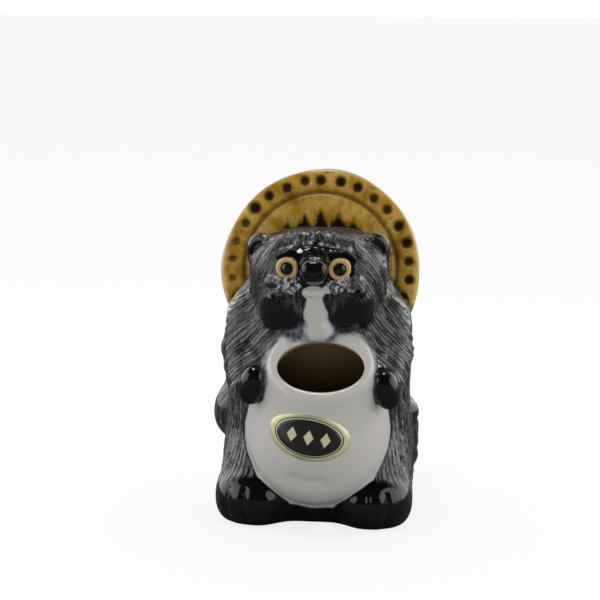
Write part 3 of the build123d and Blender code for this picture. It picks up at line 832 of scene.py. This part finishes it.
def lathe(shape, centre, normal, segments, corners=ROUND):
    """Rings of points turned round a normal from (radius, height) pairs, with a hand-cut outline."""
    n = Vector(normal).normalized()
    right = Vector((0, 0, 1)).cross(n).normalized()
    up = n.cross(right)
    angles = np.linspace(0, 2 * pi, segments, endpoint=False)
    outline = np.interp(angles, np.linspace(0, 2 * pi, len(corners) + 1), corners + corners[:1])
    points, radii = [], []
    for radius, height in shape:
        for angle, scale in zip(angles, outline):
            away = radius * (1 + (scale - 1) * min(radius / EYE_RADIUS, 1) ** 2)
            point = Vector(centre) + n * height + right * (away * cos(angle)) + up * (away * sin(angle))
            points.append(tuple(point))
            radii.append(radius)
    faces = []
    for index in range(len(shape) - 1):
        first, second = index * segments, (index + 1) * segments
        for i in range(segments):
            j = (i + 1) % segments
            faces.append((first + i, first + j, second + j, second + i))
    faces.append(tuple(reversed(range(segments))))
    faces.append(tuple(range((len(shape) - 1) * segments, len(shape) * segments)))
    return np.array(points), faces, np.array(radii)


def dome(radius, height, rings, foot):
    """A (radius, height) curve over a dome, from its foot to near its top."""
    curve = []
    for i in range(rings + 1):
        angle = pi / 2 * i / (rings + 0.4)
        curve.append((radius * cos(angle), foot + height * sin(angle)))
    return curve


def eyes(iris_material, pupil_material):
    pupil = dome(PUPIL_RADIUS, PUPIL_HEIGHT, PUPIL_RINGS, PUPIL_FOOT)
    for side, sign in SIDES:
        centre = (sign * EYE_PLACE[0] + EYE_X, EYE_PLACE[1], EYE_PLACE[2])
        normal = (sign * EYE_NORMAL[0], EYE_NORMAL[1], EYE_NORMAL[2])
        points, faces, radii = lathe(EYE_SECTION, centre, normal, EYE_SEGMENTS, EYE_CORNERS[sign])
        marks = {"radius": radii}
        build(f"{side}_eye_button", points, faces, f"{side}_eye", iris_material, marks)
        points, faces, radii = lathe(pupil, centre, normal, PUPIL_SEGMENTS)
        build(f"{side}_pupil_dome", points, faces, f"{side}_pupil", pupil_material)


# Label: an oval of foil with a black panel and three gold lozenges, on the curve of the belly


LABEL_CENTRE, LABEL_TURN = (-0.6, 40.2), 8.5
LABEL_HALF_WIDTH, LABEL_HALF_HEIGHT, LABEL_EDGE_SINK = 15.3, 8.7, 0.15
LABEL_RINGS = (0.02, 0.15, 0.3, 0.45, 0.6, 0.75, 0.88, 1.0)
LABEL_SEGMENTS = 144
LOZENGE_HALF_WIDTH, LOZENGE_HALF_HEIGHT, LOZENGE_PLACES = 1.9, 2.8, (-6.3, 0.0, 6.3)

# What is looked through for the belly's front, from before it to the pot's middle, in halving steps
BELLY_NEAR_Y, BELLY_FAR_Y, BELLY_HALVINGS = -60.0, -16.0, 30


def on_belly(x, z, lift):
    """Points on the front of the belly pot at x and z, lifted off it."""
    near_y, far_y = np.full(len(x), BELLY_NEAR_Y), np.full(len(x), BELLY_FAR_Y)
    for _ in range(BELLY_HALVINGS):
        middle = (near_y + far_y) / 2
        inside = belly_pot([x, middle, z]) < lift
        far_y = np.where(inside, middle, far_y)
        near_y = np.where(inside, near_y, middle)
    return np.stack([x, far_y, z], axis=1)


def label_patch(name, material, lift, u, v, middle=0.0):
    """A patch of the label inside a closed outline about a middle, laid on the belly."""
    rings = [(share, lift) for share in LABEL_RINGS] + [(1.0, -LABEL_EDGE_SINK)]
    turn = radians(-LABEL_TURN)
    count = len(u)
    points, spread, faces = [], [], []
    for share, raised in rings:
        along, height = middle + share * u, share * v
        x = LABEL_CENTRE[0] + along * cos(turn) - height * sin(turn)
        z = LABEL_CENTRE[1] + along * sin(turn) + height * cos(turn)
        points.append(on_belly(x, z, raised))
        spread.append(along)
    for i in range(len(rings) - 1):
        for j in range(count):
            k = (j + 1) % count
            faces.append((i * count + j, (i + 1) * count + j, (i + 1) * count + k, i * count + k))
    faces.append(tuple(reversed(range(count))))
    marks = {"spread": np.concatenate(spread)}
    return build(name, np.concatenate(points), faces, "label", material, marks)


def label(foil, gold, ink):
    angles = np.linspace(0, 2 * pi, LABEL_SEGMENTS, endpoint=False)
    u, v = LABEL_HALF_WIDTH * np.cos(angles), LABEL_HALF_HEIGHT * np.sin(angles)
    label_patch("label_foil", foil, 0.20, u, v)
    label_patch("label_outline", ink, 0.23, 0.85 * u, 0.83 * v)
    label_patch("label_line", gold, 0.26, 0.82 * u, 0.79 * v)
    label_patch("label_panel", ink, 0.29, 0.79 * u, 0.755 * v)
    away = 1 / (np.abs(np.cos(angles)) / LOZENGE_HALF_WIDTH + np.abs(np.sin(angles)) / LOZENGE_HALF_HEIGHT)
    u, v = away * np.cos(angles), away * np.sin(angles)
    for index, middle in enumerate(LOZENGE_PLACES):
        label_patch(f"label_lozenge_{index}", gold, 0.32, u, v, middle)


# Materials


# Glaze colours. Black is grey on the fur's crests, where the glaze is thin and the grey is partly a painted
# highlight, and paler on the curls, where the glaze breaks and the pale grey is partly painted glints.
BLACK, THIN_BLACK_AND_SHEEN, BROKEN_BLACK_AND_GLINT = (0.0040, 0.0040, 0.0045), (0.17, 0.17, 0.175), (0.50, 0.50, 0.52)
WHITE_GLAZE = (0.57, 0.55, 0.52)
INSIDE_DARK, INSIDE_LIGHT = (0.36, 0.26, 0.10), (0.46, 0.34, 0.15)
AMBER_SPECK, AMBER_RIM, AMBER_CHIP = (0.22, 0.075, 0.012), (0.74, 0.52, 0.27), (0.62, 0.42, 0.28)
AMBER_POOL, AMBER_UNDER_BLACK = (0.022, 0.010, 0.002), (0.010, 0.008, 0.006)
EYE_FLECK = (0.36, 0.19, 0.04)
PUPIL_DARK, PUPIL_LIGHT = (0.004, 0.004, 0.006), (0.012, 0.012, 0.017)
GOLD_DARK, GOLD_LIGHT = (0.55, 0.50, 0.30), (0.66, 0.60, 0.38)
INK_DARK, INK_LIGHT = (0.010, 0.010, 0.009), (0.016, 0.016, 0.014)
BODY_IOR, AMBER_IOR, PUPIL_IOR = 1.55, 1.52, 1.6


class Nodes:
    """A short way to lay out a node tree."""

    def __init__(self, tree):
        self.tree = tree

    def add(self, kind, **settings):
        node = self.tree.nodes.new(kind)
        for key, value in settings.items():
            setattr(node, key, value)
        return node

    def feed(self, socket, value):
        if isinstance(value, bpy.types.NodeSocket):
            self.tree.links.new(value, socket)
        elif isinstance(value, tuple) and len(value) == 3 and socket.type == "RGBA":
            socket.default_value = (*value, 1)
        else:
            socket.default_value = value

    def mark(self, name):
        return self.add("ShaderNodeAttribute", attribute_name=name).outputs["Fac"]

    def math(self, operation, a, b=0.0, c=0.0, clamp=False):
        node = self.add("ShaderNodeMath", operation=operation, use_clamp=clamp)
        for socket, value in zip(node.inputs, (a, b, c)):
            self.feed(socket, value)
        return node.outputs[0]

    def mix(self, share, a, b):
        node = self.add("ShaderNodeMix", data_type="RGBA")
        self.feed(node.inputs[0], share)
        self.feed(node.inputs[6], a)
        self.feed(node.inputs[7], b)
        return node.outputs[2]

    def ramp(self, share, *stops):
        node = self.add("ShaderNodeValToRGB")
        elements = node.color_ramp.elements
        while len(elements) < len(stops):
            elements.new(0.5)
        for element, (place, colour) in zip(elements, stops):
            element.position = place
            element.color = (*colour, 1)
        self.feed(node.inputs["Fac"], share)
        return node.outputs["Color"]

    def range(self, value, low, high, to_low=0.0, to_high=1.0):
        node = self.add("ShaderNodeMapRange", interpolation_type="SMOOTHSTEP")
        for index, item in enumerate((value, low, high, to_low, to_high)):
            self.feed(node.inputs[index], item)
        return node.outputs[0]

    def grain(self, vector, scale, detail=2.0, rough=0.5):
        node = self.add("ShaderNodeTexNoise")
        self.feed(node.inputs["Vector"], vector)
        self.feed(node.inputs["Scale"], scale)
        self.feed(node.inputs["Detail"], detail)
        self.feed(node.inputs["Roughness"], rough)
        return node.outputs["Fac"]

    def place(self):
        return self.add("ShaderNodeTexCoord").outputs["Object"]

    def vector(self, x, y, z=0.0):
        node = self.add("ShaderNodeCombineXYZ")
        for socket, value in zip(node.inputs, (x, y, z)):
            self.feed(socket, value)
        return node.outputs[0]

    def bump(self, height, distance, strength=1.0):
        node = self.add("ShaderNodeBump")
        self.feed(node.inputs["Strength"], strength)
        self.feed(node.inputs["Distance"], distance)
        self.feed(node.inputs["Height"], height)
        return node.outputs["Normal"]


def material(name):
    made = bpy.data.materials.new(name)
    made.use_nodes = True
    return made, Nodes(made.node_tree), made.node_tree.nodes["Principled BSDF"]


def body_glaze(name):
    """Black and white glaze on stoneware: one runs into the other where they meet."""
    made, n, shader = material(name)
    place = n.place()
    cloud = n.math("MULTIPLY", n.math("SUBTRACT", n.grain(place, 260, 3), 0.5), 0.12)
    white = n.math("ADD", n.mark("white"), cloud, clamp=True)
    dark = n.math("SUBTRACT", 1.0, white)
    colour = n.ramp(
        white,
        (0.0, BLACK),
        (0.25, (0.022, 0.024, 0.031)),
        (0.55, (0.17, 0.18, 0.215)),
        (0.80, (0.42, 0.425, 0.435)),
        (0.97, WHITE_GLAZE),
    )
    # The fur's crests are mixed towards grey: thin glaze, and partly a painted highlight of the glossy
    # strokes
    thin_and_sheen = n.math("MULTIPLY", n.mark("fur"), n.range(n.grain(place, 420, 2), 0.3, 0.65, 0.25, 1.0))
    colour = n.mix(n.math("MULTIPLY", thin_and_sheen, dark), colour, THIN_BLACK_AND_SHEEN)
    # The curls are mixed towards pale grey: glaze broken over them, and partly painted glints of their
    # highlights
    broken_and_glint = n.math("MULTIPLY", n.mark("curl"), n.range(n.grain(place, 700, 2), 0.42, 0.62, 0.05, 1.0))
    colour = n.mix(n.math("MULTIPLY", broken_and_glint, dark), colour, BROKEN_BLACK_AND_GLINT)
    inner = n.mix(n.grain(place, 60, 2), INSIDE_DARK, INSIDE_LIGHT)
    n.feed(shader.inputs["Base Color"], n.mix(n.mark("inside"), colour, inner))
    n.feed(shader.inputs["Roughness"], n.range(n.grain(place, 150, 2), 0.3, 0.75, 0.05, 0.11))
    shader.inputs["IOR"].default_value = BODY_IOR
    flow = n.vector(n.math("MULTIPLY", n.mark("across"), 1.1), n.math("MULTIPLY", n.mark("along"), 0.16))
    ridge = n.math("ABSOLUTE", n.math("SUBTRACT", n.grain(flow, 1.0, 2), 0.5))
    hair = n.math("MULTIPLY", n.math("MULTIPLY", ridge, 2.5), n.mark("depth"))
    peel = n.math("MULTIPLY", n.grain(place, 900, 1), 0.04)
    n.feed(shader.inputs["Normal"], n.bump(n.math("ADD", hair, peel), 0.0006, 0.9))
    return made


def amber_glaze():
    """Honey-coloured glaze that is dark where it pools and pale where it breaks over an edge."""
    made, n, shader = material("amber_glaze")
    place = n.place()
    ray = n.vector(n.mark("ray"), n.math("MULTIPLY", n.mark("radius"), 0.22))
    streak = n.grain(ray, 0.45, 3)
    cloud = n.grain(place, 120, 4, 0.6)
    tone = n.math("ADD", n.math("MULTIPLY", streak, 0.3), n.math("MULTIPLY", cloud, 0.7))
    colour = n.ramp(
        tone,
        (0.33, (0.20, 0.095, 0.003)),
        (0.44, (0.40, 0.218, 0.013)),
        (0.55, (0.54, 0.330, 0.050)),
        (0.70, (0.70, 0.490, 0.150)),
    )
    speck = n.range(n.grain(place, 330, 3, 0.6), 0.62, 0.72, 0.0, 0.55)
    colour = n.mix(speck, colour, AMBER_SPECK)
    pale = n.math("MULTIPLY", n.mark("rim"), n.range(cloud, 0.35, 0.6, 0.85, 0.35))
    colour = n.mix(pale, colour, AMBER_RIM)
    colour = n.mix(n.mark("pool"), colour, AMBER_POOL)
    colour = n.mix(n.mark("dark"), colour, AMBER_UNDER_BLACK)
    colour = n.mix(n.mark("chip"), colour, AMBER_CHIP)
    n.feed(shader.inputs["Base Color"], colour)
    shine = n.range(cloud, 0.3, 0.7, 0.16, 0.32)
    n.feed(shader.inputs["Roughness"], n.math("ADD", shine, n.math("MULTIPLY", n.mark("pool"), 0.35)))
    shader.inputs["IOR"].default_value = AMBER_IOR
    n.feed(shader.inputs["Specular IOR Level"], n.math("MULTIPLY_ADD", n.mark("pool"), -0.42, 0.5))
    height = n.math("ADD", n.math("MULTIPLY", streak, 0.5), n.math("MULTIPLY", n.grain(place, 500, 2), 0.2))
    n.feed(shader.inputs["Normal"], n.bump(height, 0.0006, 0.35))
    return made


def eye_glaze():
    made, n, shader = material("eye_glaze")
    place = n.place()
    colour = n.ramp(
        n.math("DIVIDE", n.mark("radius"), EYE_RADIUS),
        (0.57, (0.02, 0.012, 0.005)),
        (0.60, (0.58, 0.37, 0.12)),
        (0.66, (0.58, 0.37, 0.12)),
        (0.685, (0.05, 0.025, 0.006)),
        (0.71, (0.62, 0.41, 0.15)),
        (0.92, (0.64, 0.44, 0.18)),
        (0.985, (0.22, 0.11, 0.025)),
    )
    colour = n.mix(n.range(n.grain(place, 700, 2), 0.45, 0.7, 0.0, 0.35), colour, EYE_FLECK)
    n.feed(shader.inputs["Base Color"], colour)
    shader.inputs["Roughness"].default_value = 0.22
    n.feed(shader.inputs["Normal"], n.bump(n.grain(place, 900, 1), 0.0002, 0.3))
    return made


def pupil_glaze():
    made, n, shader = material("pupil_glaze")
    n.feed(shader.inputs["Base Color"], n.mix(n.grain(n.place(), 500, 1), PUPIL_DARK, PUPIL_LIGHT))
    shader.inputs["Roughness"].default_value = 0.06
    shader.inputs["IOR"].default_value = PUPIL_IOR
    return made


def foil_paper():
    """Pale gold foil that shifts to green and peach along the label."""
    made, n, shader = material("foil")
    place = n.place()
    along = n.math("ADD", n.math("DIVIDE", n.mark("spread"), 2.1 * LABEL_HALF_WIDTH), 0.5)
    shift = n.math("ADD", along, n.math("MULTIPLY", n.math("SUBTRACT", n.grain(place, 90, 1), 0.5), 0.25))
    colour = n.ramp(
        shift,
        (0.05, (0.70, 0.66, 0.36)),
        (0.30, (0.58, 0.60, 0.34)),
        (0.45, (0.36, 0.46, 0.34)),
        (0.60, (0.62, 0.55, 0.36)),
        (0.90, (0.72, 0.69, 0.40)),
    )
    n.feed(shader.inputs["Base Color"], colour)
    shader.inputs["Metallic"].default_value = 0.35
    shader.inputs["Roughness"].default_value = 0.35
    n.feed(shader.inputs["Normal"], n.bump(n.grain(place, 700, 2), 0.0001, 0.3))
    return made


def print_ink(name, dark, light, roughness):
    made, n, shader = material(name)
    n.feed(shader.inputs["Base Color"], n.mix(n.grain(n.place(), 800, 2), dark, light))
    shader.inputs["Roughness"].default_value = roughness
    return made


# Stage: strengths of 1 are white, sizes are in metres and powers in watts


# The camera sees a white floor, the glaze mirrors a dark one, and the light that it throws back is between
FLOOR_HALF, FLOOR_ROUGHNESS, FLOOR_GLOW = 4.0, 0.9, 0.82
FLOOR_SEEN, FLOOR_MIRRORED, FLOOR_THROWN = (0.90, 0.90, 0.90), (0.10, 0.10, 0.10), (0.42, 0.42, 0.42)

# The tent's strength in front of the figure (towards -Y) and at its sides and back, and its share overhead
TENT_FRONT_Y, TENT_SIDE_Y, TENT_FRONT, TENT_SIDE = -0.35, 0.15, 0.02, 2.4
TENT_LOW_Z, TENT_HIGH_Z, TENT_OVERHEAD = 0.45, 0.85, 0.12

SIDE_LAMP_SIZE, SIDE_LAMP_POWER = 0.9, 3.2
SENSOR_WIDTH = 36


def camera():
    data = bpy.data.cameras.new("camera")
    obj = bpy.data.objects.new("camera", data)
    bpy.context.scene.collection.objects.link(obj)
    a, e = radians(CAMERA_AZIMUTH), radians(CAMERA_ELEVATION)
    back = Vector((sin(a) * cos(e), -cos(a) * cos(e), sin(e)))
    turn = (-back).to_track_quat("-Z", "Y")
    right, up = turn @ Vector((1, 0, 0)), turn @ Vector((0, 1, 0))
    offset = [(c - IMAGE_PIXELS / 2) * MM_PER_PIXEL * MM for c in TARGET_PIXEL]
    obj.location = TARGET + back * CAMERA_DISTANCE
    aim = TARGET - right * offset[0] + up * offset[1]
    obj.rotation_mode = "QUATERNION"
    obj.rotation_quaternion = (aim - obj.location).to_track_quat("-Z", "Y")
    data.sensor_width = SENSOR_WIDTH
    data.lens = data.sensor_width * CAMERA_DISTANCE / (IMAGE_PIXELS * MM_PER_PIXEL * MM)
    data.clip_start, data.clip_end = 0.05, 20
    bpy.context.scene.camera = obj


def floor():
    """A white sweep: what the camera sees of it is mostly white, with the object's shadow left in."""
    mesh = bpy.data.meshes.new("floor")
    corners = [(x * FLOOR_HALF, y * FLOOR_HALF, 0) for x, y in ((-1, -1), (1, -1), (1, 1), (-1, 1))]
    mesh.from_pydata(corners, [], [(0, 1, 2, 3)])
    obj = bpy.data.objects.new("floor", mesh)
    bpy.context.scene.collection.objects.link(obj)
    made, n, shader = material("floor")
    shader.inputs["Roughness"].default_value = FLOOR_ROUGHNESS
    white = n.add("ShaderNodeEmission")
    path = n.add("ShaderNodeLightPath")
    camera_ray = path.outputs["Is Camera Ray"]
    unseen = n.mix(path.outputs["Is Diffuse Ray"], FLOOR_MIRRORED, FLOOR_THROWN)
    n.feed(shader.inputs["Base Color"], n.mix(camera_ray, unseen, FLOOR_SEEN))
    seen = n.math("MULTIPLY", camera_ray, FLOOR_GLOW)
    blend = n.add("ShaderNodeMixShader")
    n.feed(blend.inputs[0], seen)
    n.feed(blend.inputs[1], shader.outputs[0])
    n.feed(blend.inputs[2], white.outputs[0])
    n.feed(made.node_tree.nodes["Material Output"].inputs["Surface"], blend.outputs[0])
    obj.data.materials.append(made)


def world():
    """A white tent that is bright behind and beside the figure and dim in front of it."""
    made = bpy.data.worlds.new("world")
    made.use_nodes = True
    n = Nodes(made.node_tree)
    axes = n.add("ShaderNodeSeparateXYZ")
    n.feed(axes.inputs[0], n.add("ShaderNodeTexCoord").outputs["Generated"])
    around = n.range(axes.outputs["Y"], TENT_FRONT_Y, TENT_SIDE_Y, TENT_FRONT, TENT_SIDE)
    overhead = n.range(axes.outputs["Z"], TENT_LOW_Z, TENT_HIGH_Z, 1.0, TENT_OVERHEAD)
    glow = n.math("MULTIPLY", around, overhead)
    seen = n.add("ShaderNodeLightPath").outputs["Is Camera Ray"]
    strength = n.math("ADD", n.math("MULTIPLY", glow, n.math("SUBTRACT", 1.0, seen)), seen)
    n.feed(made.node_tree.nodes["Background"].inputs["Strength"], strength)
    made.node_tree.nodes["Background"].inputs["Color"].default_value = (1, 1, 1, 1)
    bpy.context.scene.world = made


def lamp(name, place, aim, size, power, mirrored=True):
    """A soft round lamp; one that isn't mirrored lights the glaze without showing in it."""
    data = bpy.data.lights.new(name, "AREA")
    data.shape = "DISK"
    data.size = size
    data.energy = power
    obj = bpy.data.objects.new(name, data)
    bpy.context.scene.collection.objects.link(obj)
    obj.location = place
    obj.visible_glossy = mirrored
    obj.rotation_mode = "QUATERNION"
    obj.rotation_quaternion = (Vector(aim) - Vector(place)).to_track_quat("-Z", "Y")


# The figure


black, white = body_glaze("black_glaze"), body_glaze("white_glaze")
for node in frame["nodes"]:
    form = "torso" if node in ("front_shell", "rear_shell") else node
    if form not in FORMS:
        continue
    pale = node in WHITE
    body_piece(
        node,
        form,
        white if pale else black,
        FINE_STEP if node in FINE else STEP,
        {"front_shell": 1, "rear_shell": -1}.get(node),
    )

amber = amber_glaze()
hat_piece("hat_brim", hat_brim, BRIM_STEP, amber)
hat_piece("hat_crown", hat_crown, STEP, amber)
eyes(eye_glaze(), pupil_glaze())
label(
    foil_paper(),
    print_ink("gold_ink", GOLD_DARK, GOLD_LIGHT, roughness=0.35),
    print_ink("black_ink", INK_DARK, INK_LIGHT, roughness=0.3),
)

camera()
floor()
world()
lamp("left", (-0.85, -0.50, 0.35), aim=(0, 0, 0.06), size=SIDE_LAMP_SIZE, power=SIDE_LAMP_POWER)
lamp("right", (0.85, -0.50, 0.35), aim=(0, 0, 0.06), size=SIDE_LAMP_SIZE, power=SIDE_LAMP_POWER)
lamp("top", (-0.10, -0.20, 1.05), aim=(0, 0, 0.06), size=0.25, power=2.4)
lamp("front", (0.05, -1.00, 0.04), aim=(0, 0, 0.05), size=0.6, power=2.5, mirrored=False)
bpy.context.scene.view_settings.view_transform = "Standard"
